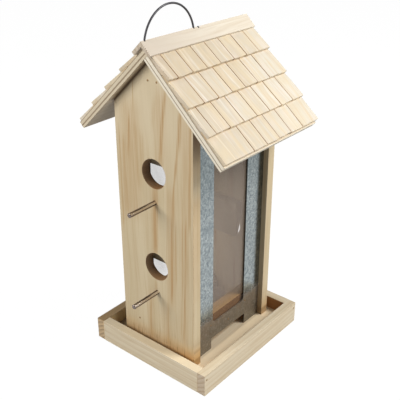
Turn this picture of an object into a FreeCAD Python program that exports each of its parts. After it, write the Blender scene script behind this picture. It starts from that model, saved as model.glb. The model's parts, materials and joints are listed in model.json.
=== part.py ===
import FreeCAD, Part
import math
import os

# A wooden bird feeding station: a house-shaped seed hopper standing in a tray.
# Millimetres. X runs across the house, towards its two windows, Y runs along the ridge
# and Z is up. The origin is the middle of the tray's underside.

# Tray
tray_height = 29.0
tray_rail_thickness = 11.0
tray_floor_thickness = 12.0
side_trough = 21.5            # from a gable's edge to the rail beside a window
end_trough = 9.0              # from a gable's face to the rail in front of it

# Gable panels
gable_width = 112.0
gable_height = 364.5          # tray floor to the point of the gable
gable_thickness = 12.0
house_length = 151.0          # over the outer faces of both gables
roof_pitch = 44.0             # degrees

# Feeding holes and perches
feed_hole_diameter = 35.0
upper_hole_height = 237.0     # above the tray floor
lower_hole_height = 119.0
perch_diameter = 5.5
perch_reach = 40.5
perch_bore_depth = 10.0
perch_drop = 35.0             # below the middle of its hole
perch_tip_chamfer = 0.6

# Seed shields inside the feeding holes
shield_right_reach = 20.0     # from the middle of the hole
shield_left_reach = 28.0
shield_thickness = 12.0
shield_seat = 20.0            # flat on the gable, above the hole
shield_margin = 1.5           # seat above the hole's edge
upper_shield_rise = 1.0       # lower end above the middle of the hole
lower_shield_drop = 8.5       # lower end below the middle of the hole
shield_lean = 20.0            # degrees, cut back below the seat

# Windows
window_recess = 7.0           # from a gable's edge to the sheet's outer face
sheet_thickness = 0.8
sheet_flange = 2.2            # turned in round the glass, from the sheet's outer face
pane_thickness = 1.5
groove_depth = 4.0
window_roof_gap = 3.0         # under the roof panel
frame_strip = 32.0            # sheet showing between a gable and the glass
frame_head = 20.0
frame_bar = 21.0
window_corner_radius = 8.0
throat_height = 15.0          # seed outlet, tray floor to the bar
foot_width = 29.5             # sheet showing between a gable and the outlet

# Rails between the gables
lower_rail_depth = 28.0
lower_rail_height = 31.0
lower_rail_flat = 14.0        # level top behind the glass
lower_rail_heel = 9.0         # upright inner face below the funnel slope
top_rail_width = 25.0
top_rail_thickness = 12.0
top_rail_drop = 19.0          # point of the gable down to the rail's upper face

# Roof
eave_overhang = 59.0          # along the slope, past the gable's corner
gable_overhang = 12.0         # shingles past each gable's face
roof_panel_thickness = 8.0
roof_panel_setback = 2.5      # panel ends inside the shingle ends
shingle_tip = 1.2
shingle_butt = 3.8
shingle_lap = 9.0
shingle_gap = 0.8
shingle_width = 23.0
shingle_least_width = 11.0
shingle_exposure = 34.0
first_course_start = 0.5      # below the ridge joint, along the slope
first_shingle_widths = [15.5, 26.5, 15.5, 50.5]
ridge_board_thickness = 4.0
ridge_board_width = 18.0
ridge_board_overhang = 0.5    # past the shingle ends
ridge_block_height = 16.0     # blocks under the ridge that keep the roof between the gables
ridge_block_length = 20.0

# Wire handle
wire_diameter = 2.2
handle_radius = 38.4
handle_sink = 8.0             # centre of the arch below the ridge line
handle_end_margin = 4.6       # ridge board's front end to the front leg
handle_foot = 10.0            # flattened end that the ridge boards trap
handle_foot_width = 3.0
handle_foot_thickness = 1.2

# Clearances
slot_clearance = 0.15
bore_clearance = 0.1
roof_seat = 0.3               # roof panels above the gable slopes, upright
ridge_block_clearance = 0.5
foot_clearance = 0.3          # handle's feet under the ridge boards

# Places that follow from the sizes above
pitch = math.radians(roof_pitch)
floor_top = tray_floor_thickness
gable_half = gable_width / 2
house_half = house_length / 2
inner_half = house_half - gable_thickness
tray_inner_x = gable_half + side_trough
tray_inner_y = house_half + end_trough
tray_half_x = tray_inner_x + tray_rail_thickness
tray_half_y = tray_inner_y + tray_rail_thickness
gable_apex = floor_top + gable_height
roof_apex = gable_apex + roof_seat
hole_heights = {"upper": floor_top + upper_hole_height, "lower": floor_top + lower_hole_height}
shield_ends = {"upper": upper_shield_rise, "lower": -lower_shield_drop}
sheet_outer = gable_half - window_recess
sheet_inner = sheet_outer - sheet_thickness
pane_outer = sheet_outer - sheet_flange
pane_inner = pane_outer - pane_thickness
window_half = inner_half + groove_depth - slot_clearance
window_top = gable_apex - sheet_outer * math.tan(pitch) - window_roof_gap
throat_top = floor_top + throat_height
glass_bottom = throat_top + frame_bar
glass_top = window_top - frame_head
glass_half = inner_half - frame_strip
outlet_half = inner_half - foot_width
lower_rail_top = throat_top + lower_rail_height
lower_rail_inner = pane_inner - lower_rail_depth
top_rail_upper = gable_apex - top_rail_drop
roof_half = house_half + gable_overhang
panel_half = roof_half - roof_panel_setback
ridge_half = roof_half + ridge_board_overhang
panel_slope = gable_half / math.cos(pitch) + eave_overhang
course_count = len(first_shingle_widths)


def block(x0, x1, y0, y1, z0, z1):
    return Part.makeBox(x1 - x0, y1 - y0, z1 - z0, FreeCAD.Vector(x0, y0, z0))


def prism_along_y(outline, y0, y1):
    """Solid between y0 and y1 whose section is an outline of (x, z) points."""
    points = [FreeCAD.Vector(x, y0, z) for x, z in outline]
    face = Part.Face(Part.makePolygon(points + points[:1]))
    return face.extrude(FreeCAD.Vector(0, y1 - y0, 0))


def prism_along_x(outline, x0, x1):
    """Solid between x0 and x1 whose section is an outline of (y, z) points."""
    points = [FreeCAD.Vector(x0, y, z) for y, z in outline]
    face = Part.Face(Part.makePolygon(points + points[:1]))
    return face.extrude(FreeCAD.Vector(x1 - x0, 0, 0))


def rod(diameter, start, direction, length):
    return Part.makeCylinder(diameter / 2, length, FreeCAD.Vector(*start), FreeCAD.Vector(*direction))


def mirror_x(shape):
    return shape.mirror(FreeCAD.Vector(0, 0, 0), FreeCAD.Vector(1, 0, 0))


def mirror_y(shape):
    return shape.mirror(FreeCAD.Vector(0, 0, 0), FreeCAD.Vector(0, 1, 0))


def save(name, shape):
    shape.exportStep(os.path.join("parts", name + ".step"))


# Tray: two long rails run its whole length, and two short ones fit between them

def tray_floor():
    return block(-tray_inner_x, tray_inner_x, -tray_inner_y, tray_inner_y, 0, floor_top)


def right_tray_rail():
    return block(tray_inner_x, tray_half_x, -tray_half_y, tray_half_y, 0, tray_height)


def front_tray_rail():
    return block(-tray_inner_x, tray_inner_x, -tray_half_y, -tray_inner_y, 0, tray_height)


# House: gables, perches, seed shields and the rails between the gables

def front_gable():
    outer = -house_half
    eave = gable_apex - gable_half * math.tan(pitch)
    outline = [(-gable_half, floor_top), (gable_half, floor_top), (gable_half, eave),
               (0, gable_apex), (-gable_half, eave)]
    panel = prism_along_y(outline, outer, -inner_half)
    bore_diameter = perch_diameter + 2 * bore_clearance
    bore_depth = perch_bore_depth + bore_clearance
    for z in hole_heights.values():
        panel = panel.cut(rod(feed_hole_diameter, (0, outer, z), (0, 1, 0), gable_thickness))
        panel = panel.cut(rod(bore_diameter, (0, outer, z - perch_drop), (0, 1, 0), bore_depth))
    groove = block(pane_inner - slot_clearance, sheet_outer + slot_clearance,
                   -inner_half - groove_depth, -inner_half, floor_top, gable_apex)
    return panel.cut(groove).cut(mirror_x(groove))


def front_perch(z):
    """Steel rod with a chamfered tip, let into a blind bore."""
    tip = -house_half - perch_reach
    root = -house_half + perch_bore_depth
    perch = rod(perch_diameter, (0, tip, z), (0, 1, 0), root - tip)
    tip_rim = [edge for edge in perch.Edges if abs(edge.CenterOfMass.y - tip) < perch_tip_chamfer]
    return perch.makeChamfer(perch_tip_chamfer, tip_rim)


def front_shield(z, bottom):
    """Block inside, over the upper part of a hole, so that the seed behind it doesn't pour out.
    Below its seat it is cut back from the gable, and a beak reaches the seed from below."""
    seat = z + feed_hole_diameter / 2 + shield_margin
    gable_side = -inner_half
    seed_side = gable_side + shield_thickness
    lip = gable_side + (seat - bottom) * math.tan(math.radians(shield_lean))
    outline = [(gable_side, seat), (gable_side, seat + shield_seat), (seed_side, seat + shield_seat),
               (seed_side, bottom), (lip, bottom)]
    return prism_along_x(outline, -shield_left_reach, shield_right_reach)


def top_rail():
    half = top_rail_width / 2
    return block(-half, half, -inner_half, inner_half, top_rail_upper - top_rail_thickness, top_rail_upper)


def right_lower_rail():
    """Its inner side slopes like a funnel, so that seed slides down to the outlets."""
    outline = [(pane_inner, throat_top), (pane_inner, lower_rail_top),
               (pane_inner - lower_rail_flat, lower_rail_top),
               (lower_rail_inner, throat_top + lower_rail_heel), (lower_rail_inner, throat_top)]
    return prism_along_y(outline, -inner_half, inner_half)


# Windows: a galvanised sheet frame with a clear pane behind it, both in the gables' grooves

def glass_opening(outer, inner, margin):
    """Round-cornered block as large as the opening and a margin round it, between two depths."""
    opening = block(inner, outer, -glass_half - margin, glass_half + margin,
                    glass_bottom - margin, glass_top + margin)
    corners = [edge for edge in opening.Edges if abs(edge.tangentAt(edge.FirstParameter).x) > 0.5]
    return opening.makeFillet(window_corner_radius + margin, corners)


def right_window_frame():
    """Sheet whose edge round the glass is turned in, which stiffens it and keeps the pane off it."""
    sheet = block(sheet_inner, sheet_outer, -window_half, window_half, floor_top, window_top)
    outlet = block(sheet_inner, sheet_outer, -outlet_half, outlet_half, floor_top, throat_top)
    flanged = sheet.cut(outlet).fuse(glass_opening(sheet_outer, pane_outer, sheet_thickness))
    return flanged.cut(glass_opening(sheet_outer, pane_outer, 0)).removeSplitter()


def right_window_pane():
    return block(pane_inner, pane_outer, -window_half, window_half, throat_top, window_top)


# Roof: a place on a slope is (down, out) from the line where the panels' undersides meet

def on_right_slope(down, out):
    x = down * math.cos(pitch) + out * math.sin(pitch)
    z = roof_apex - down * math.sin(pitch) + out * math.cos(pitch)
    return (x, z)


def ridge_meeting(out, other_out):
    """How far down this slope its plane at height out meets the other slope's at other_out."""
    return (out * math.cos(2 * pitch) - other_out) / math.sin(2 * pitch)


def right_slope_board(upper_plane, lower_end, under, over, half_length):
    """Board between heights under and over, its upper end cut along the other slope's upper_plane."""
    outline = [(ridge_meeting(under, upper_plane), under), (lower_end, under),
               (lower_end, over), (ridge_meeting(over, upper_plane), over)]
    return prism_along_y([on_right_slope(*place) for place in outline], -half_length, half_length)


def right_roof_panel(upper_plane):
    return right_slope_board(upper_plane, panel_slope, 0, roof_panel_thickness, panel_half)


def course_ends(course):
    """Upper and lower end of a shingle course; course 0 is at the ridge."""
    butt = panel_slope - (course_count - 1 - course) * shingle_exposure
    upper = first_course_start if course == 0 else butt - shingle_exposure - shingle_lap
    return upper, butt


def course_lift(course):
    """How far the butts stand off the panel, resting on the tips of the course below."""
    if course == course_count - 1:
        return 0.0
    upper, butt = course_ends(course + 1)
    growth = course_lift(course + 1) + shingle_butt - shingle_tip
    return shingle_tip + growth * shingle_lap / (butt - upper)


def shingle_edges(course):
    """Start and stop of each shingle along the ridge."""
    joints = []
    joint = first_shingle_widths[course] - roof_half
    while joint < roof_half - shingle_least_width:
        joints.append(joint)
        joint += shingle_width
    starts = [-roof_half] + [joint + shingle_gap / 2 for joint in joints]
    stops = [joint - shingle_gap / 2 for joint in joints] + [roof_half]
    return list(zip(starts, stops))


def right_shingle_course(course):
    upper, butt = course_ends(course)
    base = roof_panel_thickness
    lift = base + course_lift(course)
    outline = [(upper, base), (butt, lift), (butt, lift + shingle_butt), (upper, base + shingle_tip)]
    section = [on_right_slope(*place) for place in outline]
    return Part.makeCompound([prism_along_y(section, start, stop) for start, stop in shingle_edges(course)])


def ridge_board_seat():
    """Height of the ridge boards' undersides, whose lower edges rest on the top course."""
    upper, butt = course_ends(0)
    rise = (course_lift(0) + shingle_butt - shingle_tip) / (butt - upper)
    down = ridge_board_width - ridge_board_thickness * math.tan(pitch) - upper
    return (roof_panel_thickness + shingle_tip + rise * down) / (1 + rise * math.tan(pitch))


ridge_under = ridge_board_seat()
ridge_over = ridge_under + ridge_board_thickness
ridge_lower_end = ridge_meeting(ridge_over, ridge_over) + ridge_board_width
ridge_z = roof_apex + ridge_over / math.cos(pitch)
ridge_inside_z = roof_apex + ridge_under / math.cos(pitch)
handle_y = handle_end_margin + handle_radius - ridge_half


def right_ridge_board(upper_plane):
    return right_slope_board(upper_plane, ridge_lower_end, ridge_under, ridge_over, ridge_half)


def front_ridge_block():
    """Triangular block under the ridge, just inside the front gable."""
    reach = ridge_block_height / math.tan(pitch)
    under = roof_apex - ridge_block_height
    outline = [(0, roof_apex), (reach, under), (-reach, under)]
    front = ridge_block_clearance - inner_half
    return prism_along_y(outline, front, front + ridge_block_length)


def handle(grow=0.0):
    """Arched wire whose ends are hammered flat and bent inwards under the ridge boards.
    A grow widens it into the hole that it sits in."""
    half_width = handle_foot_width / 2 + grow
    half_thickness = handle_foot_thickness / 2 + grow
    foot_room = handle_foot_width / 2 * math.tan(pitch) + handle_foot_thickness / 2 + foot_clearance
    foot_z = ridge_inside_z - foot_room
    arch_z = ridge_z - handle_sink
    lean = math.asin((foot_z - arch_z) / handle_radius)
    leg = handle_radius * math.cos(lean)
    front = FreeCAD.Vector(0, handle_y - leg, foot_z)
    back = FreeCAD.Vector(0, handle_y + leg, foot_z)
    top = FreeCAD.Vector(0, handle_y, arch_z + handle_radius)
    path = Part.Wire([Part.Arc(front, top, back).toShape()])
    upwards = FreeCAD.Vector(0, math.sin(lean), math.cos(lean))
    section = Part.makeCircle(wire_diameter / 2 + grow, front, upwards)
    wire = path.makePipe(Part.Face(Part.Wire([section])))
    for leg_end, inwards in ((front, 1), (back, -1)):
        ends = sorted([leg_end.y - inwards * half_width, leg_end.y + inwards * (handle_foot + grow)])
        foot = block(-half_width, half_width, *ends, foot_z - half_thickness, foot_z + half_thickness)
        wire = wire.fuse(foot)
    return wire


def build():
    os.makedirs("parts", exist_ok=True)
    save("tray_floor", tray_floor())
    save("right_tray_rail", right_tray_rail())
    save("left_tray_rail", mirror_x(right_tray_rail()))
    save("front_tray_rail", front_tray_rail())
    save("back_tray_rail", mirror_y(front_tray_rail()))

    save("front_gable", front_gable())
    save("back_gable", mirror_y(front_gable()))
    for level, z in hole_heights.items():
        perch = front_perch(z - perch_drop)
        save(f"front_{level}_perch", perch)
        save(f"back_{level}_perch", mirror_y(perch))
        shield = front_shield(z, z + shield_ends[level])
        save(f"front_{level}_shield", shield)
        save(f"back_{level}_shield", mirror_y(shield))
    save("top_rail", top_rail())
    save("right_lower_rail", right_lower_rail())
    save("left_lower_rail", mirror_x(right_lower_rail()))
    save("right_window_frame", right_window_frame())
    save("left_window_frame", mirror_x(right_window_frame()))
    save("right_window_pane", right_window_pane())
    save("left_window_pane", mirror_x(right_window_pane()))

    wire_hole = handle(bore_clearance)
    left_panel = mirror_x(right_roof_panel(roof_panel_thickness))
    save("right_roof_panel", right_roof_panel(0))
    save("left_roof_panel", left_panel.cut(wire_hole))
    save("front_ridge_block", front_ridge_block())
    save("back_ridge_block", mirror_y(front_ridge_block()))
    for course in range(course_count):
        shingles = right_shingle_course(course)
        save(f"right_shingle_course_{course + 1}", shingles)
        save(f"left_shingle_course_{course + 1}", mirror_x(shingles))
    left_board = mirror_x(right_ridge_board(ridge_over))
    save("right_ridge_board", right_ridge_board(ridge_under).cut(wire_hole))
    save("left_ridge_board", left_board.cut(wire_hole))
    save("handle_wire", handle())


build()
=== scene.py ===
# %% [markdown]
# # A wooden bird feeding station
# The packed model brings every board, pane and wire to its place. This lesson dresses it: it gives
# the boards their grain, lays a roof of split shingles, and sets the light and the camera. All lengths
# are in metres. The house stands on z = 0, its ridge runs along y, and its front gable looks to -y.

# %% Load the packed model
import json
import math

import bmesh
import bpy
import numpy as np
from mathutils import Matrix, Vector


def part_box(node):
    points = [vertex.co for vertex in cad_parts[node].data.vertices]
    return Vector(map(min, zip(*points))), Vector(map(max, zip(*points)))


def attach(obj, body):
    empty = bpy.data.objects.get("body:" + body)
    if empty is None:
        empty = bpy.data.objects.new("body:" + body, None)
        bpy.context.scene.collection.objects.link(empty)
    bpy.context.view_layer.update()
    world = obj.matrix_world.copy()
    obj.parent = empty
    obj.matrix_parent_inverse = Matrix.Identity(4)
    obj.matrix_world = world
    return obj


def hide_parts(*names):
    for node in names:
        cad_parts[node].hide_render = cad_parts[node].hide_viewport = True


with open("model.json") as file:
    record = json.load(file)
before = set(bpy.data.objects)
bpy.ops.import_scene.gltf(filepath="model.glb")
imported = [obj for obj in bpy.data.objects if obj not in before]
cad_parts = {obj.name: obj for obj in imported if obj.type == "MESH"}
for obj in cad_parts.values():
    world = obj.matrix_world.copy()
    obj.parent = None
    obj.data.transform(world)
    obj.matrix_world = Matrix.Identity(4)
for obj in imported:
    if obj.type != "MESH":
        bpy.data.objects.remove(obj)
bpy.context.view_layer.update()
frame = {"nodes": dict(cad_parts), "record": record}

nodes = frame["nodes"]
openings = {box["name"]: np.array(box["box_m"]) for box in frame["record"]["physics"]["openings"]}

# %% [markdown]
# ## Writing shaders as sums
# A shader is a web of nodes, and long webs are hard to read. The class Field wraps one socket, so
# that an expression such as 1 - mask * 0.5 adds its Math nodes by itself. Nodes placed one by one
# would do the same in many more lines.

# %% A socket with arithmetic
class Field:
    """A value that changes over a surface: one output socket, with Python's arithmetic."""

    def __init__(self, finish, socket):
        self.finish = finish
        self.socket = socket

    def out(self, name):
        """Another output of the same node."""
        return Field(self.finish, self.socket.node.outputs[name])

    def __add__(self, other):
        return self.finish.math("ADD", self, other)

    def __sub__(self, other):
        return self.finish.math("SUBTRACT", self, other)

    def __rsub__(self, other):
        return self.finish.math("SUBTRACT", other, self)

    def __mul__(self, other):
        return self.finish.math("MULTIPLY", self, other)

    def __truediv__(self, other):
        return self.finish.math("DIVIDE", self, other)

    def __pow__(self, other):
        return self.finish.math("POWER", self, other)

    def __abs__(self):
        return self.finish.math("ABSOLUTE", self)

    __radd__ = __add__
    __rmul__ = __mul__

    def fraction(self):
        return self.finish.math("FRACT", self)

    def larger(self, other):
        return self.finish.math("MAXIMUM", self, other)

    def rise(self, low, high):
        """0 below low, 1 above high, and a smooth climb between them; low above high gives a fall."""
        ends = {"Value": self, "From Min": low, "From Max": high}
        return self.finish.node("ShaderNodeMapRange", {"interpolation_type": "SMOOTHSTEP"}, ends)


print("Field does", [name for name in vars(Field) if not name.startswith("_")])

# %% [markdown]
# The class Finish holds one material, and its node method makes every node: its kind, its settings,
# then its sockets. Patterns read the place on the object, so they sit in the wood like real grain and
# run on round an edge.

# %% A material and its nodes
class Finish:
    """One material, or the world, and the one way of adding nodes to it."""

    def __init__(self, owner):
        self.owner = owner
        self.owner.use_nodes = True
        self.tree = self.owner.node_tree
        self.shader = self.tree.nodes.get("Principled BSDF")

    def node(self, kind, settings=None, values=None, out=0):
        node = self.tree.nodes.new(kind)
        for key, value in (settings or {}).items():
            setattr(node, key, value)
        for key, value in (values or {}).items():
            self.feed(node.inputs[key], value)
        return Field(self, node.outputs[out])

    def feed(self, socket, value):
        if isinstance(value, Field):
            self.tree.links.new(value.socket, socket)
        else:
            socket.default_value = value

    def math(self, operation, *values):
        return self.node("ShaderNodeMath", {"operation": operation}, dict(enumerate(values)))

    def parts(self, vector):
        """The x, y and z of a vector, or the red, green and blue of a colour."""
        split = self.node("ShaderNodeSeparateXYZ", None, {0: vector})
        return split, split.out("Y"), split.out("Z")

    def place(self):
        """x, y and z on the object, in metres."""
        return self.parts(self.node("ShaderNodeTexCoord", out="Object"))

    def direction(self):
        """The surface's own direction, as x, y and z from -1 to 1."""
        return self.parts(self.node("ShaderNodeNewGeometry", out="Normal"))

    def facing(self, axis):
        """How squarely the surface faces along an axis, from 0 to 1."""
        return abs(self.direction()["XYZ".index(axis)])

    def vector(self, x, y, z):
        return self.node("ShaderNodeCombineXYZ", None, {0: x, 1: y, 2: z})

    def noise(self, x, y, z, detail=2.0, roughness=0.5):
        values = {"Vector": self.vector(x, y, z), "Scale": 1.0, "Detail": detail, "Roughness": roughness}
        return self.node("ShaderNodeTexNoise", None, values)

    def mix(self, factor, first, second, blend="MIX"):
        settings = {"data_type": "RGBA", "blend_type": blend}
        return self.node("ShaderNodeMix", settings, {0: factor, 6: first, 7: second}, out=2)

    def bump(self, height, strength, distance):
        values = {"Height": height, "Strength": strength, "Distance": distance}
        self.feed(self.shader.inputs["Normal"], self.node("ShaderNodeBump", None, values))

    def surface(self, **sockets):
        for name, value in sockets.items():
            self.feed(self.shader.inputs[name.replace("_", " ")], value)
        return self.owner


def new_finish(name):
    return Finish(bpy.data.materials.new(name))


def tone(red, green, blue):
    """A colour as a screen shows it, 0 to 255, turned into the light that a shader works with."""
    shown = np.array([red, green, blue]) / 255
    light = np.where(shown <= 0.04045, shown / 12.92, ((shown + 0.055) / 1.055) ** 2.4)
    return (*light.tolist(), 1.0)


print("a mid pine tone in light:", [round(v, 3) for v in tone(205, 182, 148)])

# %% [markdown]
# ## Pine boards
# A board shows its tree: rings about a pith, cut by the board's faces. Painting each face would break
# at the edges, so the pattern is solid. The distance from a pith line behind the board gives the
# rings, and noise that is stretched along the grain gives fibres and broad streaks. A face that cuts
# across the grain then shows the rings' arcs by itself, and only gets its own two tones.

# %% A finish for solid timber
def timber(name, grain, pith, seed, tones, ring=0.0045, contrast=0.5):
    """Solid wood in a pale, a dark and a streak tone. radius = distance from the pith line, warped by
    slow noise along the grain; late wood = the last part of each ring; broad, vein and fibre = noise
    drawn out along the grain, from wide to fine."""
    pale, dark, streak = tones
    finish = new_finish(name)
    x, y, z = finish.place()
    along, across, through = {"X": (x, y, z), "Y": (y, x, z), "Z": (z, x, y)}[grain]
    warp = finish.noise(along * 2.6 + seed, across * 7, through * 7, 2.0) - 0.5
    wobble = finish.noise(along * 12 + seed, across * 60, through * 60, 2.0) - 0.5
    side = across - pith[0] + warp * 0.03
    depth = through - pith[1]
    radius = (side * side + depth * depth) ** 0.5
    turn = ((radius + wobble * 0.0009) / ring).fraction()
    late = turn.rise(0.25, 0.92) * (1 - turn.rise(0.93, 1.0))
    broad = finish.noise(along * 3.0 + seed, across * 75 + warp * 6, through * 30, 3.0).rise(0.42, 0.68)
    vein = finish.noise(along * 8 + seed, across * 330 + warp * 20, through * 330, 3.0).rise(0.46, 0.72)
    fibre = finish.noise(along * 40 + seed, across * 1500, through * 1500, 3.0, 0.6)
    fleck = finish.noise(along * 130 + seed, across * 2600, through * 2600, 1.0).rise(0.62, 0.72)
    colour = finish.mix(late * contrast, pale, dark)
    colour = finish.mix(broad * 0.55, colour, streak)
    colour = finish.mix(vein * 0.45, colour, dark)
    colour = finish.mix((fibre - 0.35) * 0.5, colour, dark)
    colour = finish.mix(fleck * 0.18, colour, dark)
    finish.bump(fibre * 0.5 + late * 0.5, 0.25, 0.0004)
    return finish, colour, late


def end_grain(made, grain, pale, dark, share=0.75):
    """Where a face cuts across the grain: its own two tones, split by the rings."""
    finish, colour, late = made
    cut = finish.facing(grain).rise(0.6, 0.85)
    x, y, z = finish.place()
    speck = finish.noise(x * 900, y * 900, z * 900, 2.0).rise(0.35, 0.7)
    ends = finish.mix(late * 0.6 + speck * 0.4, pale, dark)
    return finish, finish.mix(cut * share, colour, ends), late


pine_tones = (tone(206, 189, 157), tone(184, 158, 121), tone(194, 174, 138))
print("plain pine:", [[round(v, 2) for v in part[:3]] for part in pine_tones])

# %% [markdown]
# A sawn board's edges are sanded a little round, and catch the light as a thin line. A packed mesh is
# loose triangles, so its corners are joined first, and a bevel can then find the true edges.

# %% Finish a board
def ease_edges(board, width):
    weld = board.modifiers.new("join corners", "WELD")
    weld.merge_threshold = 0.00002
    bevel = board.modifiers.new("ease edges", "BEVEL")
    bevel.width = width
    bevel.segments = 2
    bevel.limit_method = "ANGLE"
    bevel.angle_limit = math.radians(40)


def finish_board(node, made, roughness=0.62, ease=0.0006):
    """Puts a finish on a packed board and takes the sharpness off its edges, unless ease is 0."""
    finish, colour, late = made
    nodes[node].data.materials.clear()
    nodes[node].data.materials.append(finish.surface(Base_Color=colour, Roughness=roughness))
    if ease:
        ease_edges(nodes[node], ease)


print("boards to finish:", sum(len(nodes[node].data.polygons) for node in nodes), "faces in all")

# %% [markdown]
# ## The tray
# Four rails and a floor. Each board comes from another part of the tree, so each gets its own pith
# and its own seed, and the grain runs along its length. The inner faces get their own tones, browner in
# part as painted shade. Two rail tops get painted shade on the left and painted light at the front, and
# the floor's two troughs get the same. Masks for these come from the board's own box, so they need no
# painting.

# %% Dress the tray
tray_tones = (tone(215, 202, 177), tone(188, 164, 126), tone(206, 190, 160))
tray_boards = {
    "tray_floor": ("Y", (0.02, -0.05), 3.1),
    "right_tray_rail": ("Y", (0.05, 0.06), 7.7),
    "left_tray_rail": ("Y", (-0.06, -0.03), 1.9),
    "front_tray_rail": ("X", (-0.05, 0.05), 5.2),
    "back_tray_rail": ("X", (0.06, -0.04), 8.4),
}
inner_tones = {"left_tray_rail": tone(232, 202, 148), "back_tray_rail": tone(160, 106, 46),
               "right_tray_rail": tone(206, 168, 116), "front_tray_rail": tone(206, 168, 116)}
painted_top_tones = {"left_tray_rail": tone(146, 116, 74), "front_tray_rail": tone(222, 205, 174)}
tray_ends = (tone(190, 172, 150), tone(150, 124, 98))
# darker tones for the left rail's end faces
left_end_tones = {"left_tray_rail": (tone(196, 164, 120), tone(104, 76, 48))}
house_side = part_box("front_gable")[1].x


def tray_rail_colour(node, grain, finish, colour):
    """Inner = the face nearest the tray's middle, below the eased upper edge. Top = the upper face."""
    x, y, z = finish.place()
    low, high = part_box(node)
    inner_face = min(abs(low.x), abs(high.x)) if grain == "Y" else min(abs(low.y), abs(high.y))
    off = abs(x if grain == "Y" else y) - inner_face
    # the inner faces get their own tones, browner in part as painted shade, most of all on the back rail
    inner = (1 - off.rise(0.0001, 0.0007)) * (1 - z.rise(high.z - 0.0012, high.z - 0.0004))
    colour = finish.mix(inner * 0.9, colour, inner_tones[node])
    # painted light and shade on the rail tops: painted shade on the left rail, painted light on the front
    # one
    if node in painted_top_tones:
        top = z.rise(high.z - 0.0006, high.z - 0.0002)
        colour = finish.mix(top * 0.85, colour, painted_top_tones[node])
    return colour


def tray_floor_colour(finish, colour):
    """Painted shade in the left trough, painted light in the right one."""
    x = finish.place()[0]
    # painted shade in the left trough
    colour = finish.mix((x + house_side).rise(0.0, -0.004) * 0.75, colour, tone(122, 94, 60))
    # painted light in the right trough
    return finish.mix((x - house_side + 0.006).rise(0.0, 0.004) * 0.85, colour, tone(236, 216, 182))


for node, (grain, pith, seed) in tray_boards.items():
    made = timber(node, grain, pith, seed, tray_tones, ring=0.005, contrast=0.4)
    finish, colour, late = end_grain(made, grain, *left_end_tones.get(node, tray_ends))
    if node == "tray_floor":
        colour = tray_floor_colour(finish, colour)
    else:
        colour = tray_rail_colour(node, grain, finish, colour)
    finish_board(node, (finish, colour, late))
print("tray boards:", len(tray_boards))

# %% [markdown]
# ## Places on the roof's slope
# The roof and the gables' upper edges lie on slopes. Turning x and z by the pitch gives two handier
# numbers: how far down the slope a place lies, and how far out of it. The same sums serve for arrays
# of points and for shader values, because both know the arithmetic.

# %% Down and out
roof_pitch = math.radians(44)


def down_slope(x, z):
    """How far down the slope a place lies."""
    return x * math.cos(roof_pitch) - z * math.sin(roof_pitch)


def out_slope(x, z):
    """How far out of the slope a place lies."""
    return x * math.sin(roof_pitch) + z * math.cos(roof_pitch)


def corner_points(node):
    """The corner points of a packed node, one row each."""
    values = np.empty(len(nodes[node].data.vertices) * 3, np.float32)
    nodes[node].data.vertices.foreach_get("co", values)
    return values.reshape(-1, 3).astype(float)


def slope_places(node):
    """Down and out of every corner point, the left slope mirrored onto the right."""
    points = corner_points(node)
    aside = np.abs(points[:, 0])
    return down_slope(aside, points[:, 2]), out_slope(aside, points[:, 2])


print("gable reaches out to", round(float(slope_places("front_gable")[1].max()), 4))

# %% [markdown]
# ## The gables
# The gables stand on end, so their grain is upright. Pine sawn near the heart shows long orange-brown
# streaks of late wood that lean and fade. Noise alone would scatter them, so they are listed one by one,
# each by the place of its top and its foot, its half width and its depth of colour.

# %% Streaks of late wood
gable_tones = (tone(204, 188, 156), tone(182, 158, 120), tone(192, 174, 138))
late_streak = tone(172, 134, 84)
# Across and height at the top, the same at the foot, and the half width, in millimetres; then depth.
gable_streaks = [
    (18, 345, 8, 262, 3.4, 0.90),
    (3, 335, 0, 300, 5.0, 0.30),
    (39, 332, 36, 285, 4.5, 0.85),
    (34, 292, 31, 255, 2.4, 0.80),
    (31, 272, 27, 222, 1.8, 0.75),
    (53, 325, 50, 195, 3.0, 0.80),
    (27, 228, 22, 92, 3.2, 0.85),
    (31, 200, 29, 115, 1.5, 0.65),
    (45, 205, 42, 35, 1.9, 0.75),
    (41, 238, 38, 55, 1.3, 0.55),
    (0, 238, -2, 146, 5.0, 0.75),
    (4, 240, 2, 150, 1.4, 0.60),
    (-2, 114, -3, 92, 3.5, 0.60),
    (-10, 86, -12, 22, 2.4, 0.65),
    (17, 86, 16, 22, 3.2, 0.55),
    (-34, 312, -38, 260, 2.6, 0.85),
    (-26, 305, -23, 225, 7.5, 0.45),
    (-44, 285, -46, 180, 5.5, 0.60),
    (-51, 292, -52, 165, 2.2, 0.70),
    (-17, 292, -16, 235, 5.0, 0.40),
    (-27, 354, -28, 316, 0.9, 0.80),
    (55.2, 300, 55.2, 22, 1.3, 0.40),
    (-33, 328, -34, 185, 22, 0.40),
    (12, 348, 8, 255, 12, 0.40),
    (0, 242, -2, 142, 10, 0.35),
    (24, 238, 22, 82, 11, 0.40),
    (46, 325, 42, 40, 11, 0.35),
    (-11, 98, -12, 22, 9, 0.35),
    (14, 92, 14, 22, 10, 0.30),
]


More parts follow.
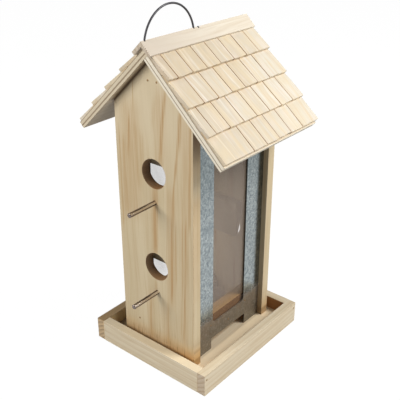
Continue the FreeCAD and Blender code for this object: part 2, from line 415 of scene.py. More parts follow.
def add_streaks(finish, colour, sign, seed):
    """Streak = a smooth bump about a leaning line, bent by slow noise, frayed by fine noise and faded
    at both ends of its run."""
    x, y, z = finish.place()
    bend = (finish.noise(z * 14 + seed, x * 12, 0.5, 2.0) - 0.5) * 0.006
    fray = finish.noise(z * 12 + seed, x * 640, 2.0, 3.0).rise(0.36, 0.62)
    for *line, depth in gable_streaks:
        top_x, top_z, foot_x, foot_z, width = np.array(line).tolist()
        top, foot = top_z / 1000, foot_z / 1000
        middle = (z - foot) * ((top_x - foot_x) / (top_z - foot_z)) + foot_x / 1000
        bump = 1 - (abs(x * -sign + bend - middle) / (width / 1000)).rise(0.1, 1.0)
        run = z.rise(foot - 0.010, foot + 0.015) * (1 - z.rise(top - 0.015, top + 0.010))
        colour = finish.mix(bump * run * (0.4 + fray * 0.6) * depth, colour, late_streak)
    return colour


print("streaks on each gable:", len(gable_streaks))

# %% [markdown]
# The drilled wall inside each feeding hole is darker than the face: browner cut wood under painted
# shade, with painted light on the side that faces the lamps. Its mask is the distance from the hole's
# middle, which the packed model gives as an opening. More light and shade is painted in too: a painted
# shadow where the roof meets the gable, painted orange bounce light and a line of painted shade at the
# foot, where fine dark flecks run up the grain, painted shadow on the side edges under the eaves, and
# painted shade beside the window.

# %% Dress the gables
hole_radius = 0.0175
shaded_wall_tone = tone(104, 62, 24)
lit_wall_tone = tone(130, 78, 20)


def add_hole_walls(finish, colour, end, sign):
    """Wall = within the hole's radius, lighter where it faces the light."""
    x, y, z = finish.place()
    for level in ("upper", "lower"):
        low, high = openings[f"{end}_{level}_feeding_hole"]
        up = z - float(low[2] + high[2]) / 2
        away = (x * x + up * up) ** 0.5
        lit = (x * -sign * 0.8 - up * 0.6).rise(-0.012, 0.012)
        wall = finish.mix(lit, shaded_wall_tone, lit_wall_tone)
        colour = finish.mix(1 - away.rise(hole_radius - 0.0003, hole_radius + 0.0005), colour, wall)
    return colour


def add_marks_and_painted_shade(finish, colour, node, sign, seed):
    """Roof shadow = painted shadow just under the roof. Painted bounce = painted orange bounce light at the
    foot, with a line of painted shade at its lowest edge; damp = fine flecks that run up the grain there.
    Shade = painted shadow on the side edges under the eaves. Recess = painted shade on the inner face
    beyond the window sheet."""
    x, y, z = finish.place()
    crest = float(slope_places(node)[1].max())
    # painted shadow just under the roof, where it meets the gable
    roof_shadow = out_slope(abs(x), z).rise(crest - 0.0034, crest - 0.0008)
    colour = finish.mix(roof_shadow * 0.92, colour, tone(84, 58, 28))
    # painted orange bounce light from the tray at the gable's foot
    painted_bounce = (1 - z.rise(0.020, 0.046)) * (0.4 + (x * -sign).rise(-0.01, 0.05) * 0.4)
    colour = finish.mix(painted_bounce, colour, tone(212, 168, 102))
    # a line of painted shade where the gable meets the tray
    colour = finish.mix((1 - z.rise(0.0205, 0.0240)) * 0.45, colour, tone(120, 84, 44))
    damp = finish.noise(z * 45 + seed, x * 760, 5.0, 3.0).rise(0.52, 0.68) * (1 - z.rise(0.024, 0.060))
    colour = finish.mix(damp * 0.5, colour, tone(132, 88, 40))
    # painted shadow on the side edges under the eaves
    side_top = (crest - house_side * math.sin(roof_pitch)) / math.cos(roof_pitch)
    shade = finish.facing("X").rise(0.6, 0.85) * z.rise(side_top - 0.060, side_top - 0.018)
    colour = finish.mix(shade * 0.8, colour, tone(112, 78, 42))
    sheet_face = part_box("right_window_frame")[1].x
    inner_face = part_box(node)[0 if sign > 0 else 1].y
    # painted shade on the strip of inner face beyond the window sheet
    beyond = abs(x).rise(sheet_face - 0.0004, sheet_face + 0.0002)
    recess = beyond * (1 - abs(y - inner_face).rise(0.0002, 0.0008))
    return finish.mix(recess * 0.5, colour, tone(138, 116, 90))


for end, sign, seed, pith in (("front", -1, 2.4, (0.05, 0.11)), ("back", 1, 6.3, (-0.04, 0.12))):
    node = end + "_gable"
    finish, colour, late = timber(node, "Z", pith, seed, gable_tones, ring=0.009, contrast=0.25)
    height = finish.place()[2]
    colour = finish.mix(height.rise(0.24, 0.32) * 0.4, colour, tone(216, 201, 172))
    colour = add_streaks(finish, colour, sign, seed)
    colour = add_hole_walls(finish, colour, end, sign)
    colour = add_marks_and_painted_shade(finish, colour, node, sign, seed)
    finish_board(node, (finish, colour, late))
print("gables dressed, with holes of", hole_radius * 2000, "mm")

# %% [markdown]
# ## The boards inside
# Rails tie the gables together, and seed shields hang behind the feeding holes. Seen only through the
# holes and the panes, they are sawn pine: the shields have gone grey, and the lower rails are brown,
# with painted shade on the outer faces behind the sheet. Plain timber with a tint is enough for them.

# %% Dress the rails, shields and ridge blocks
inner_boards = {"top_rail": "Y", "right_lower_rail": "Y", "left_lower_rail": "Y",
                "front_ridge_block": "Y", "back_ridge_block": "Y"}
inner_boards.update({node: "X" for node in nodes if node.endswith("_shield")})
for count, (node, grain) in enumerate(inner_boards.items()):
    made = timber(node, grain, (0.09, 0.09), 1.1 + count * 0.7, pine_tones)
    finish, colour, late = end_grain(made, grain, tone(176, 150, 116), tone(140, 110, 78))
    if node.endswith("_shield"):
        colour = finish.mix(0.45, colour, tone(118, 122, 114))
    if node.endswith("lower_rail"):
        colour = finish.mix(0.85, colour, tone(184, 138, 78))
        # painted shade on the lower rails' outer faces behind the sheet
        colour = finish.mix(finish.facing("X").rise(0.75, 0.95) * 0.85, colour, tone(92, 54, 16))
    finish_board(node, (finish, colour, late))
print("boards inside:", len(inner_boards))

# %% [markdown]
# ## Galvanised sheet
# Zinc freezes on steel in crystals, the spangle: cells that each reflect a little differently. A
# Voronoi pattern has such cells, and noise breaks their straight borders. Low down, dust and seed husks
# have dulled the sheet and a painted reflection of the tray browns it, so a mask by height takes away
# metal and adds brown. Higher up, painted shade darkens the sheet under the eave.

# %% A finish for the sheets
def galvanised(name):
    """Each Voronoi cell is one zinc crystal with its own shade, over a soft cloudy drift."""
    finish = new_finish(name)
    x, y, z = finish.place()
    warp = finish.noise(y * 160, z * 160, x * 160, 2.0) - 0.5
    drift = finish.noise(y * 160, z * 160 + 7, x * 160, 2.0) - 0.5
    at = finish.vector(x * 480, y * 560 + warp * 2.4, z * 480 + drift * 2.4)
    cell = finish.node("ShaderNodeTexVoronoi", {"feature": "F1"}, {"Vector": at, "Scale": 1.0}, out="Color")
    shade, blue, gloss = finish.parts(cell)
    cloud = finish.noise(y * 120, z * 90, x, 3.0)
    grey = finish.mix(shade * 0.7 + cloud * 0.3, tone(106, 115, 120), tone(188, 195, 194))
    grey = finish.mix(blue * 0.3, grey, tone(130, 145, 150))
    rail_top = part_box("right_tray_rail")[1].z
    # dust that dulls the sheet low down, and a painted reflection of the tray in its brown
    dust_and_reflection = (1 - (z + (cloud - 0.5) * 0.006).rise(rail_top + 0.022, rail_top + 0.035)) * 0.85
    reflection_and_dust_tone = finish.mix(z.rise(rail_top - 0.01, rail_top + 0.03), tone(112, 98, 76), tone(142, 122, 98))
    reflection_and_dust_tone = finish.mix(cloud.rise(0.3, 0.7) * 0.5, reflection_and_dust_tone, tone(88, 74, 52))
    reflection_and_dust_tone = finish.mix(shade.rise(0.55, 0.95) * 0.4, reflection_and_dust_tone, tone(146, 138, 122))
    grey = finish.mix(dust_and_reflection, grey, reflection_and_dust_tone)
    # painted shade under the eave: darker towards the top
    grey = finish.mix(z.rise(0.17, 0.28), grey, (0.66, 0.68, 0.68, 1), "MULTIPLY")
    grey = finish.mix(y.rise(0.0, 0.04), grey, (0.94, 0.94, 0.93, 1), "MULTIPLY")
    cut = finish.facing("Y").rise(0.6, 0.85)
    grey = finish.mix(cut * 0.8, grey, tone(66, 62, 58))
    roughness = 0.17 + gloss * 0.1 + dust_and_reflection * 0.15
    finish.bump(shade, 0.08, 0.0002)
    return finish.surface(Base_Color=grey, Metallic=1 - dust_and_reflection * 0.75, Roughness=roughness)


def dress(node, material):
    """Puts a finished material on a packed node that keeps its sharp edges."""
    nodes[node].data.materials.clear()
    nodes[node].data.materials.append(material)


for side in ("right", "left"):
    dress(side + "_window_frame", galvanised(side + "_sheet"))
print("sheets dressed")

# %% [markdown]
# ## Clear panes
# The pane behind each sheet is clear plastic. A glass shader would bend the light of every ray and
# slow the picture down. Here a low alpha lets most of the view through, and the gloss stays. A smoky
# haze stands for scratches and seed dust and in part for a painted reflection, a pale veil over the
# view; there is less of it low down where seed rubs the pane clean.

# %% Dress the panes
def clear_pane(name, haze_and_reflection):
    """Alpha = the haze and a drift of fine wipe marks, thinned out near the foot."""
    finish = new_finish(name)
    x, y, z = finish.place()
    wipe = finish.noise(y * 60 + z * 25, z * 8, x, 3.0).rise(0.35, 0.75)
    clean = 0.35 + z.rise(0.055, 0.085) * 0.65
    # the haze is seed dust and scratches, and in part a painted reflection veil
    cover = (haze_and_reflection + wipe * 0.05) * clean
    roughness = 0.05 + wipe * 0.06
    return finish.surface(Base_Color=tone(164, 149, 136), Roughness=roughness, Alpha=cover, IOR=1.45)


for side, haze_and_reflection in (("right", 0.32), ("left", 0.2)):
    dress(side + "_window_pane", clear_pane(side + "_pane", haze_and_reflection))
print("panes dressed")

# %% [markdown]
# ## Steel perches and the wire handle
# Both are drawn steel: noise that runs along the rod gives its fine lines. The perches are dull, with a
# painted highlight along the upper right, which a mask on the surface's own direction gives. The handle
# has gone dark.

# %% Dress the steel
def drawn_steel(name, dull, highlight_tone, roughness, along):
    """Draw marks: fine noise that runs along the rod. Painted highlight = where the surface faces up and
    right.
    """
    finish = new_finish(name)
    x, y, z = finish.place()
    marks = finish.noise(x * 1800, y * along, z * 1800, 2.0)
    right, behind, up = finish.direction()
    painted_highlight = (right * 0.79 + up * 0.61).rise(0.80, 0.97)
    colour = finish.mix(painted_highlight * 0.8 + marks * 0.2, dull, highlight_tone)
    return finish.surface(Base_Color=colour, Metallic=1.0, Roughness=roughness + marks * 0.12)


perch_steel = drawn_steel("perch_steel", tone(100, 86, 80), tone(234, 226, 220), 0.20, 30)
handle_steel = drawn_steel("handle_steel", tone(78, 77, 80), tone(88, 87, 90), 0.42, 300)
perches = [node for node in nodes if node.endswith("_perch")]
for node in perches:
    dress(node, perch_steel)
dress("handle_wire", handle_steel)
print("perches:", len(perches), "and the handle")

# %% [markdown]
# ## Plywood roof panels
# A plywood edge shows its layers as stripes. Their place is the height above the panel's underside,
# so one sum of x and z draws them along the gable ends and the eaves alike. The left panel has small
# notches under the ridge that a bevel would spoil, so its edges stay sharp.

# %% Dress the panels
def plywood(node, side, seed, edge_tone, glue_tone, glue_half):
    """Stripes = the height above the underside, with a thin dark glue line and a painted shadow line
    under the shingles. The underside gets painted shade, most of all over the gables."""
    layers = (tone(214, 202, 180), tone(192, 168, 134), tone(206, 190, 162))
    finish, colour, late = timber(node, "Y", (0.3, 0.3), seed, layers, ring=0.007, contrast=0.4)
    x, y, z = finish.place()
    down, out = slope_places(node)
    waver = (finish.noise(x * 300, y * 300, z * 300, 2.0) - 0.5) * 0.0005
    height = out_slope(x * side, z) - float(out.min()) + waver
    rim = finish.facing("Y").rise(0.5, 0.8)
    eave = (down_slope(x * side, z) - float(down.max())).rise(-0.0009, -0.0003)
    edge = rim.larger(eave)
    glue = 1 - abs(height - 0.0033).rise(0.0003, glue_half)
    top = height.rise(0.0071, 0.0077)
    under = 1 - height.rise(0.0006, 0.0010)
    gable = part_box("back_gable")[1]
    wall = (1 - (abs(y) - gable.y).rise(0.0, 0.008)) * (1 - (abs(x) - gable.x).rise(0.0, 0.004))
    # painted shade on the underside, most of all over the gables
    colour = finish.mix(under * (0.22 + wall * 0.65) * (1 - edge), colour, tone(104, 76, 44))
    colour = finish.mix(edge * 0.85, colour, edge_tone)
    colour = finish.mix(glue * edge * 0.75, colour, glue_tone)
    # a painted shadow line on the edge just under the shingles
    colour = finish.mix(top * rim * 0.8, colour, tone(110, 84, 52))
    return finish, colour, late


pale_edge = plywood("right_roof_panel", 1, 2.0, tone(232, 223, 204), tone(118, 92, 62), 0.0008)
# the left panel's edge gets darker tones and a wider glue line
darker_edge = plywood("left_roof_panel", -1, 9.0, tone(205, 191, 165), tone(108, 80, 46), 0.0012)
finish_board("right_roof_panel", pale_edge)
finish_board("left_roof_panel", darker_edge, ease=0)
print("roof panels dressed")

# %% [markdown]
# ## Ridge boards
# Two boards cap the ridge, the left lapping over the right. They are the palest timber here, and a slow
# change along y lays painted shade over the grain, darker and greyer towards the front.

# %% Dress the ridge boards
ridge_tones = (tone(224, 216, 200), tone(198, 180, 154), tone(214, 202, 182))
for node, seed in (("right_ridge_board", 4.4), ("left_ridge_board", 8.1)):
    finish, colour, late = timber(node, "Y", (0.08, 0.42), seed, ridge_tones, ring=0.006, contrast=0.35)
    along = finish.place()[1]
    # painted shade: darker and greyer towards the front
    colour = finish.mix((1 - along.rise(-0.10, 0.06)) * 0.8, colour, tone(197, 184, 168))
    made = end_grain((finish, colour, late), "Y", tone(196, 181, 160), tone(164, 144, 120))
    finish_board(node, made, roughness=0.7)
print("ridge boards dressed")

# %% [markdown]
# ## Shingles
# Each shingle is a split wedge, thin at its upper end, and each course lies on the next one below.
# The packed courses are plain wedges, so finer ones stand in for them. Their places are read from the
# packed model rather than typed in, so the roof stays one with the part.

# %% Read a course from the packed model
def read_course(node):
    """Where each shingle starts and stops along the ridge, and the wedge's four corners as
    (down the slope, out of the slope), upper end first and the underside before the upper face."""
    spans = np.unique(np.round(corner_points(node)[:, 1], 5)).reshape(-1, 2)
    down, out = slope_places(node)
    is_upper = down < (down.min() + down.max()) / 2
    head, butt = out[is_upper], out[~is_upper]
    wedge = [(down.min(), head.min()), (down.min(), head.max()),
             (down.max(), butt.min()), (down.max(), butt.max())]
    return spans, np.array(wedge)


spans, wedge = read_course("right_shingle_course_2")
print("second course:", len(spans), "shingles; wedge corners in mm:", np.round(wedge * 1000, 1).tolist())

# %% [markdown]
# One closed section, a flat loop with rounded corners, is carried down the slope. Its half width and
# half thickness change on the way, and the last rings turn in to round the butt. No two split shingles
# are alike, so random numbers skew and wave each butt and lift each upper face a little. All shingles
# of a course are worked out at once as arrays.

# %% Carry the section down the slope
rng = np.random.default_rng(11)
section_steps = 9
section_corner = 0.0002
slope_stations = 26
# How far a split shingle strays from the plain wedge.
side_spread = 0.00018
side_play = 0.00012
butt_skew = 0.00025
butt_wave = 0.00012
butt_play = 0.0002
most_lift = 0.0003
most_cup = 0.00016


def shingle_section(steps, corner):
    """A flat loop: signs of the half width and half thickness, rounded corners added to them, and a
    fifth row that is 0 on the upper face and 1 on the sides and underside."""
    flat = np.linspace(-1, 1, steps)
    arc = np.array([np.pi / 4, np.pi / 2])
    bend = np.array([0.2, 1.0])
    top = [flat, np.ones(steps), np.zeros(steps), np.full(steps, corner), np.zeros(steps)]
    right = [np.ones(2), np.ones(2), corner * np.sin(arc), corner * np.cos(arc), bend]
    left = [-np.ones(2), np.ones(2), -corner * np.sin(arc[::-1]), corner * np.cos(arc[::-1]), bend[::-1]]
    upper = np.concatenate([left, top, right], axis=1)
    lower = upper[:, ::-1] * np.array([[1], [-1], [1], [-1], [0]]) + np.array([[0], [0], [0], [0], [1]])
    return np.concatenate([upper, lower], axis=1)


def shingle_points(spans, wedge, bed):
    """Grid [shingle, station, section point] of (down, along the ridge, out). Down runs evenly from the
    upper end to a butt that is skewed and waved a little. The upper face is the wedge's. The underside
    lies on its bed: the panel, or the upper face of the course below. The last rings round the butt."""
    each = (len(spans), 1, 1)
    corner = section_corner
    width_sign, thick_sign, width_add, thick_add = shingle_section(section_steps, corner)[:4]
    run = np.append(np.linspace(0, 1, slope_stations), [1.0, 1.0])
    tuck = (np.append(np.zeros(slope_stations), [0.4, 1.0]) * corner)[None, :, None]
    middle = spans.mean(1).reshape(each)
    reach = (spans[:, 1] - spans[:, 0]).reshape(each) / 2 + side_spread
    half = reach - rng.uniform(-side_play, side_play, each)
    ridge_way = middle + width_sign * (half - corner - tuck) + width_add
    across = (ridge_way - middle) / half
    skew = rng.normal(0, butt_skew, each)
    phase = rng.uniform(0, 6.3, each)
    wave = butt_wave * np.sin(5 * across + phase)
    butt = wedge[2, 0] + skew * across + wave + rng.normal(0, butt_play, each)
    back = (np.append(np.full(slope_stations, 1.0), [0.35, 0.0]) * corner)[None, :, None]
    down = wedge[0, 0] + (butt - wedge[0, 0]) * run[None, :, None] - back
    over = wedge[1, 1] + (wedge[3, 1] - wedge[1, 1]) * run
    under = np.minimum(bed(wedge[0, 0] + (wedge[2, 0] - wedge[0, 0]) * run), over - 2.4 * corner)
    lift = rng.uniform(0.0, most_lift, each) * run[None, :, None]
    cup = most_cup * (1 - across ** 2) * rng.uniform(-1, 1, each) * run[None, :, None]
    centre = ((under + over) / 2)[None, :, None]
    thick = ((over - under) / 2)[None, :, None]
    out = centre + thick_sign * (thick - corner - tuck) + thick_add
    return np.broadcast_arrays(down, ridge_way, out + (lift + cup) * (thick_sign > 0))


loop_points = shingle_section(section_steps, section_corner).shape[1]
print("section points:", loop_points)

# %% [markdown]
# ## From arrays to meshes
# Faces are rows of point numbers. Between two rings of a grid the same four steps repeat, so all of
# them come from one sum. The mesh then takes whole arrays, which is far quicker than adding points
# one at a time. Split wood has flat facets, so faces are shaded flat unless a piece asks otherwise.

# %% Grids, pieces and stored values
def grid_faces(count, rings, points):
    """Quads between neighbouring rings, closed round the loop, and quads across each end."""
    ring, point = np.meshgrid(np.arange(rings - 1), np.arange(points), indexing="ij")
    beside = (point + 1) % points
    walls = np.stack([ring * points + point, (ring + 1) * points + point,
                      (ring + 1) * points + beside, ring * points + beside], -1).reshape(-1, 4)
    one = np.arange(points // 2 - 1)
    lid = np.stack([one, one + 1, points - 2 - one, points - 1 - one], -1)
    foot = lid[:, ::-1] + (rings - 1) * points
    faces = np.concatenate([walls, lid, foot])
    return (faces[None] + (np.arange(count) * rings * points)[:, None, None]).reshape(-1, 4)


def surface_piece(name, points, faces, smooth=False):
    """A mesh object at the origin from point and face arrays."""
    mesh = bpy.data.meshes.new(name)
    mesh.vertices.add(len(points))
    mesh.vertices.foreach_set("co", points.astype(np.float32).ravel())
    mesh.loops.add(faces.size)
    mesh.loops.foreach_set("vertex_index", faces.astype(np.int32).ravel())
    mesh.polygons.add(len(faces))
    mesh.polygons.foreach_set("loop_start", np.arange(len(faces), dtype=np.int32) * faces.shape[1])
    mesh.polygons.foreach_set("use_smooth", np.full(len(faces), smooth))
    mesh.update(calc_edges=True)
    mesh.validate()
    piece = bpy.data.objects.new(name, mesh)
    bpy.context.scene.collection.objects.link(piece)
    return piece


def store(mesh, name, values):
    """One number for each corner point, for the shader to read."""
    layer = mesh.attributes.new(name, "FLOAT", "POINT")
    layer.data.foreach_set("value", values.astype(np.float32).ravel())


print("faces of one shingle:", len(grid_faces(1, slope_stations + 2, loop_points)))

# %% [markdown]
# ## A finish for shingles
# The shingles were split from many billets, so each has its own tone and its own stretch of grain.
# Object coordinates would run the grain straight through from one to the next. Instead the tone, a
# place across and a place along are stored on the mesh, and the finish reads them there.

# %% Split wood
def shingle_finish():
    """Grain runs down the slope; a stored shade moves the colour between pale cream and honey. Seam is
    1 on a shingle's sides and underside, margin is the way to its nearest side, and clear is the way
    down from the butt of the course above."""
    finish = new_finish("shingle_wood")

    def stored(name):
        return finish.node("ShaderNodeAttribute", {"attribute_name": name}, out="Fac")

    shade, across, along, seam = (stored(name) for name in ("shade", "across", "along", "seam"))
    clear, margin = stored("clear"), stored("margin")
    warp = finish.noise(along * 9, across * 40, 1.5, 2.0) - 0.5
    grain = finish.noise(along * 14, across * 520 + warp * 9, 4.0, 4.0, 0.6)
    band = finish.noise(along * 7, across * 110 + warp * 4, 8.0, 2.0).rise(0.4, 0.7)
    pores = finish.noise(along * 90, across * 1900, 2.0, 1.0).rise(0.60, 0.74)
    blotch = finish.noise(along * 40, across * 55, 6.0, 2.0)
    silver = finish.noise(along * 10, across * 300 + warp * 6, 12.0, 2.0).rise(0.5, 0.75)
    colour = finish.mix(shade, tone(217, 210, 194), tone(176, 156, 127))
    colour = finish.mix(blotch.rise(0.45, 0.75) * 0.4, colour, tone(220, 199, 160))
    colour = finish.mix(blotch.rise(0.55, 0.25) * 0.4, colour, tone(226, 210, 196))
    colour = finish.mix(band * 0.5, colour, tone(220, 201, 164))
    colour = finish.mix(silver * 0.5, colour, tone(230, 226, 218))
    colour = finish.mix((grain - 0.42).rise(0.0, 0.3) * 0.5, colour, tone(204, 178, 138))
    colour = finish.mix(pores * 0.16, colour, tone(184, 152, 110))
    # painted shadow below the butt of the course above, with some dirt
    colour = finish.mix((1 - clear.rise(0.0, 0.0012)) * 0.4, colour, tone(184, 148, 96))
    colour = finish.mix((1 - margin.rise(0.0001, 0.0010)) * 0.55, colour, tone(158, 110, 58))
    colour = finish.mix(seam.rise(0.1, 0.9) * 0.8, colour, tone(150, 104, 54))
    finish.bump(grain, 0.18, 0.0003)
    return finish.surface(Base_Color=colour, Roughness=0.66)


shingle_wood = shingle_finish()
print("shingle finish:", len(shingle_wood.node_tree.nodes), "nodes")

# %% [markdown]
# ## Laying the courses
# The courses differ in tone, the upper ones being more honey-coloured, and painted light makes each
# paler to the back. At the front the shingles stop just inside the panel's edge. Some butts lie a little
# lower or higher than in the packed model, and the first course is tucked further up under the ridge
# boards.

# %% Lay the courses
course_tones = {1: 0.42, 2: 0.30, 3: 0.20, 4: 0.26}
butt_moves = {("left", 1): 0.0034, ("left", 2): 0.0036, ("left", 4): -0.0020, ("right", 4): -0.0020}
front_stop = 0.001
tuck_up = 0.0065
tuck_thick = 0.0004
bed_gap = 0.00005
tone_play = 0.07
painted_light_per_metre = 2.6
grain_shift = 5
outer_strip = 0.0008
outer_stain = {"right": 0.12, "left": 0.0}
butt_stain = 0.4
panel_top = float(slope_places("right_roof_panel")[1].max())
panel_reach = float(corner_points("right_roof_panel")[:, 1].max())


def course_bed(side, course):
    """How far out of the slope a course's underside lies: on the panel or, where that stands higher,
    on the upper face of the next course."""
    if course == max(course_tones):
        return lambda down: np.full(down.shape, panel_top + bed_gap)
    below = read_course(f"{side}_shingle_course_{course + 1}")[1]

    def bed(down):
        part = (down - below[0, 0]) / (below[2, 0] - below[0, 0])
        covered = below[1, 1] + (below[3, 1] - below[1, 1]) * part
        return np.where(part > 0, np.maximum(covered, panel_top), panel_top) + bed_gap

    return bed


def mark_shingles(mesh, side, course, spans, wedge, down, ridge_way):
    """Stores what the finish reads. The outer ends of a course are bare wood, and so are the butts in
    part; the other sides are seams, stained along their edges."""
    each = (len(spans), 1, 1)
    # painted light: the shade value falls towards the back, so the shingles grow paler there
    shade = course_tones[course] + rng.normal(0, tone_play, each) - ridge_way * painted_light_per_metre
    store(mesh, "shade", np.clip(shade, 0, 1))
    store(mesh, "across", ridge_way + rng.uniform(0, grain_shift, each))
    store(mesh, "along", down + rng.uniform(0, grain_shift, each))
    outer = (ridge_way < spans.min() + outer_strip) | (ridge_way > spans.max() - outer_strip)
    stain = np.where(outer, outer_stain[side], 1.0)
    stain[:, -2:] *= butt_stain
    store(mesh, "seam", shingle_section(section_steps, section_corner)[4] * stain)
    from_start = ridge_way - ridge_way.min(axis=(1, 2), keepdims=True)
    from_stop = ridge_way.max(axis=(1, 2), keepdims=True) - ridge_way
    store(mesh, "margin", np.where(outer, 0.01, np.minimum(from_start, from_stop)))
    above = wedge[0, 0] - 0.02
    if course > 1:
        above = read_course(f"{side}_shingle_course_{course - 1}")[1][2, 0]
    store(mesh, "clear", down - above)


def lay_course(side, course):
    """Turns (down, along the ridge, out) back into x, y and z, mirrored for the left side."""
    node = f"{side}_shingle_course_{course}"
    spans, wedge = read_course(node)
    spans = np.maximum(spans, front_stop - panel_reach)
    wedge[2:, 0] += butt_moves.get((side, course), 0.0)
    if course == 1:
        wedge[:2, 0] -= tuck_up
        wedge[1, 1] += tuck_thick
    down, ridge_way, out = shingle_points(spans, wedge, course_bed(side, course))
    x = down * math.cos(roof_pitch) + out * math.sin(roof_pitch)
    z = out * math.cos(roof_pitch) - down * math.sin(roof_pitch)
    points = np.stack([x if side == "right" else -x, ridge_way, z], -1).reshape(-1, 3)
    faces = grid_faces(*down.shape)
    piece = surface_piece(node + "_split", points, faces if side == "right" else faces[:, ::-1])
    mark_shingles(piece.data, side, course, spans, wedge, down, ridge_way)
    piece.data.materials.append(shingle_wood)
    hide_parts(node)
    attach(piece, "roof")
    return piece


laid = [lay_course(side, course) for side in ("right", "left") for course in course_tones]
print("courses:", len(laid), "faces:", sum(len(piece.data.polygons) for piece in laid))

# %% [markdown]
# ## Nails
# The boards are nailed, and only the heads show: low domes, a profile turned about an axis. A ring of
# no radius closes each end, and joining its points leaves one clean pole. All nails of a body are one
# piece, since none of them moves by itself.

# %% Nail heads
nail_sides = 14
nail_height = 0.0004
nail_sink = 0.0006


def close_poles(mesh):
    """Joins the points that a ring of no radius leaves in one place."""
    shell = bmesh.new()
    shell.from_mesh(mesh)
    bmesh.ops.remove_doubles(shell, verts=shell.verts, dist=0.00001)
    shell.to_mesh(mesh)
    shell.free()


def nail_heads(name, places, body, steel, radius=0.0013):
    """Dome = rings of falling radius and rising height about each nail's axis, over a short shank that
    is sunk in the wood."""
    arc = np.linspace(0, np.pi / 2, 5)
    turn = np.linspace(0, 2 * np.pi, nail_sides, endpoint=False)
    flat = np.append([0.0, radius], np.cos(arc) * radius)[:, None, None]
    rise = np.append([-nail_sink, -nail_sink], np.sin(arc) * nail_height)[:, None, None]
    points = []
    for centre, axis in places:
        axis = Vector(axis).normalized()
        first = axis.orthogonal().normalized()
        second = axis.cross(first)
        spoke = np.cos(turn)[:, None] * np.array(first) + np.sin(turn)[:, None] * np.array(second)
        points.append(np.array(centre) + spoke * flat + rise * np.array(axis))
    ring, side = np.meshgrid(np.arange(len(flat) - 1), np.arange(nail_sides), indexing="ij")
    here, ahead = ring * nail_sides, (ring + 1) * nail_sides
    beside = (side + 1) % nail_sides
    quads = np.stack([here + side, here + beside, ahead + beside, ahead + side], -1).reshape(-1, 4)
    starts = np.arange(len(places)) * len(flat) * nail_sides
    faces = (quads[None] + starts[:, None, None]).reshape(-1, 4)
    piece = surface_piece(name, np.concatenate(points).reshape(-1, 3), faces, smooth=True)
    close_poles(piece.data)
    piece.data.materials.append(steel)
    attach(piece, body)
    return piece


print("a nail head has", nail_sides, "sides and stands", nail_height * 1000, "mm proud")

# %% [markdown]
# Nails hold the top rail and the foot of each gable, and the long tray rails. Small pins hold the
# sheets, and one nail stands in the ridge. Each place is measured from the box of the board it is in.

# %% Drive the nails
nail_steel = drawn_steel("nail_steel", tone(148, 122, 90), tone(166, 140, 106), 0.5, 900)
top_rail_nails = (-0.008, 0.0044)
top_rail_nail_lift = 0.0015
foot_nail = (0.0315, 0.0446)
tray_nail_inset = 0.004
tray_nail_height = 0.022
pin_reach = 0.035
pin_drop = 0.003
middle_pin_drop = 0.0125
ridge_nail_aside = 0.0005
ridge_nail_drop = 0.0006
ridge_nail_lean = (0.6, 0, 1)

gable_face = abs(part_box("front_gable")[0].y)
rail_low, rail_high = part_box("top_rail")
sheet_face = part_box("right_window_frame")[1].x
tray_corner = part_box("right_tray_rail")[1]
ridge_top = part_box("left_ridge_board")[1].z
window_foot = float(openings["right_window"][0][2])
rail_nail_height = (rail_low.z + rail_high.z) / 2 + top_rail_nail_lift

places = []
for end in (-1, 1):
    face = end * gable_face
    places += [((end * across, face, rail_nail_height), (0, end, 0)) for across in top_rail_nails]
    places += [((end * foot_nail[0], face, foot_nail[1]), (0, end, 0))]
    tray_end = end * (tray_corner.y - tray_nail_inset)
    places += [((side * tray_corner.x, tray_end, tray_nail_height), (side, 0, 0)) for side in (-1, 1)]
pins = [(-pin_reach, pin_drop), (0.0, middle_pin_drop), (pin_reach, pin_drop)]
for side in (-1, 1):
    places += [((side * sheet_face, y, window_foot - drop), (side, 0, 0)) for y, drop in pins]
nail_heads("nails", places, "house", nail_steel)
ridge_place = ((ridge_nail_aside, 0, ridge_top - ridge_nail_drop), ridge_nail_lean)
nail_heads("ridge_nail", [ridge_place], "roof", handle_steel, radius=0.0014)
print("nails:", len(places) + 1)

# %% [markdown]
# ## Floor
# The feeder stands on a white floor. To the camera and in reflections the floor mostly glows, so it
# stays white right to the horizon. A small share of plain matte keeps a soft shadow under the tray,
# and for all other light the floor is a mid grey, so it throws only a little back up.

# %% Lay the floor
floor_reach = 30
corners = floor_reach * np.array([[-1, -1, 0], [1, -1, 0], [1, 1, 0], [-1, 1, 0]], float)
floor = surface_piece("floor", corners, np.array([[0, 1, 2, 3]]))
floor_finish = new_finish("floor")
ray = floor_finish.node("ShaderNodeLightPath", out="Is Camera Ray")
seen = ray.larger(ray.out("Is Glossy Ray")).larger(ray.out("Is Transmission Ray"))
matte = floor_finish.node("ShaderNodeBsdfDiffuse", None, {"Color": (0.45, 0.45, 0.45, 1)})
glow = floor_finish.node("ShaderNodeEmission", None, {"Color": (1, 1, 1, 1), "Strength": 1.08})
both = floor_finish.node("ShaderNodeMixShader", None, {0: seen * 0.9, 1: matte, 2: glow})
floor_finish.feed(floor_finish.tree.nodes["Material Output"].inputs["Surface"], both)
floor.data.materials.append(floor_finish.owner)
print("floor:", floor_reach * 2, "m across")

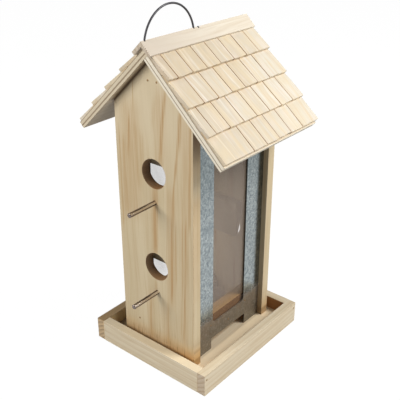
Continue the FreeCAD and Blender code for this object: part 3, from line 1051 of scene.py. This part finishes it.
# %% [markdown]
# ## Light
# A large soft lamp at the front left lights the gable, one at the back right lights the roof, and a
# weak low one on the right brings up the window. The surroundings fill the shadows with a dim cool
# light, but look white to the camera, so the floor has no visible end.

# %% Set the lamps
studio = Finish(bpy.data.worlds.new("studio"))
bpy.context.scene.world = studio.owner
sky = studio.tree.nodes["Background"]
studio.feed(sky.inputs["Color"], (0.93, 0.96, 1.0, 1))
studio.feed(sky.inputs["Strength"], 0.24 + studio.node("ShaderNodeLightPath", out="Is Camera Ray") * 0.84)
house_middle = Vector((0, 0, 0.2))


def soft_lamp(name, place, size, power):
    """A round lamp that looks at the middle of the house."""
    lamp = bpy.data.lights.new(name, "AREA")
    lamp.shape = "DISK"
    lamp.size = size
    lamp.energy = power
    lamp.color = (1.0, 0.99, 0.97)
    holder = bpy.data.objects.new(name, lamp)
    holder.location = place
    holder.rotation_euler = (house_middle - Vector(place)).to_track_quat("-Z", "Y").to_euler()
    bpy.context.scene.collection.objects.link(holder)


soft_lamp("front_left", (-0.85, -1.75, 1.35), 1.5, 40)
soft_lamp("back_right", (1.3, 0.85, 1.6), 0.9, 40)
soft_lamp("right", (1.7, -0.2, 0.5), 0.7, 5)

# %% [markdown]
# ## Camera
# The camera looks down on the front right corner. Its direction, its distance and the focal length,
# counted in pixels of the picture, were found by fitting the model's corners to the picture's.

# %% Place the camera
view_azimuth = math.radians(39.51)
view_elevation = math.radians(26.32)
view_distance = 0.82706
view_target = Vector((0.00299, 0.0, 0.18979))
image_side = 400
focal_in_pixels = 690.23

back = Vector((math.sin(view_azimuth) * math.cos(view_elevation),
               -math.cos(view_azimuth) * math.cos(view_elevation), math.sin(view_elevation)))
lens = bpy.data.cameras.new("camera")
lens.sensor_width = 36.0
lens.lens = lens.sensor_width * focal_in_pixels / image_side
camera = bpy.data.objects.new("camera", lens)
camera.location = view_target + back * view_distance
camera.rotation_euler = back.to_track_quat("Z", "Y").to_euler()
bpy.context.scene.collection.objects.link(camera)
bpy.context.scene.camera = camera
bpy.context.scene.view_settings.view_transform = "Standard"
print("lens:", round(lens.lens, 1), "mm")

# %% [markdown]
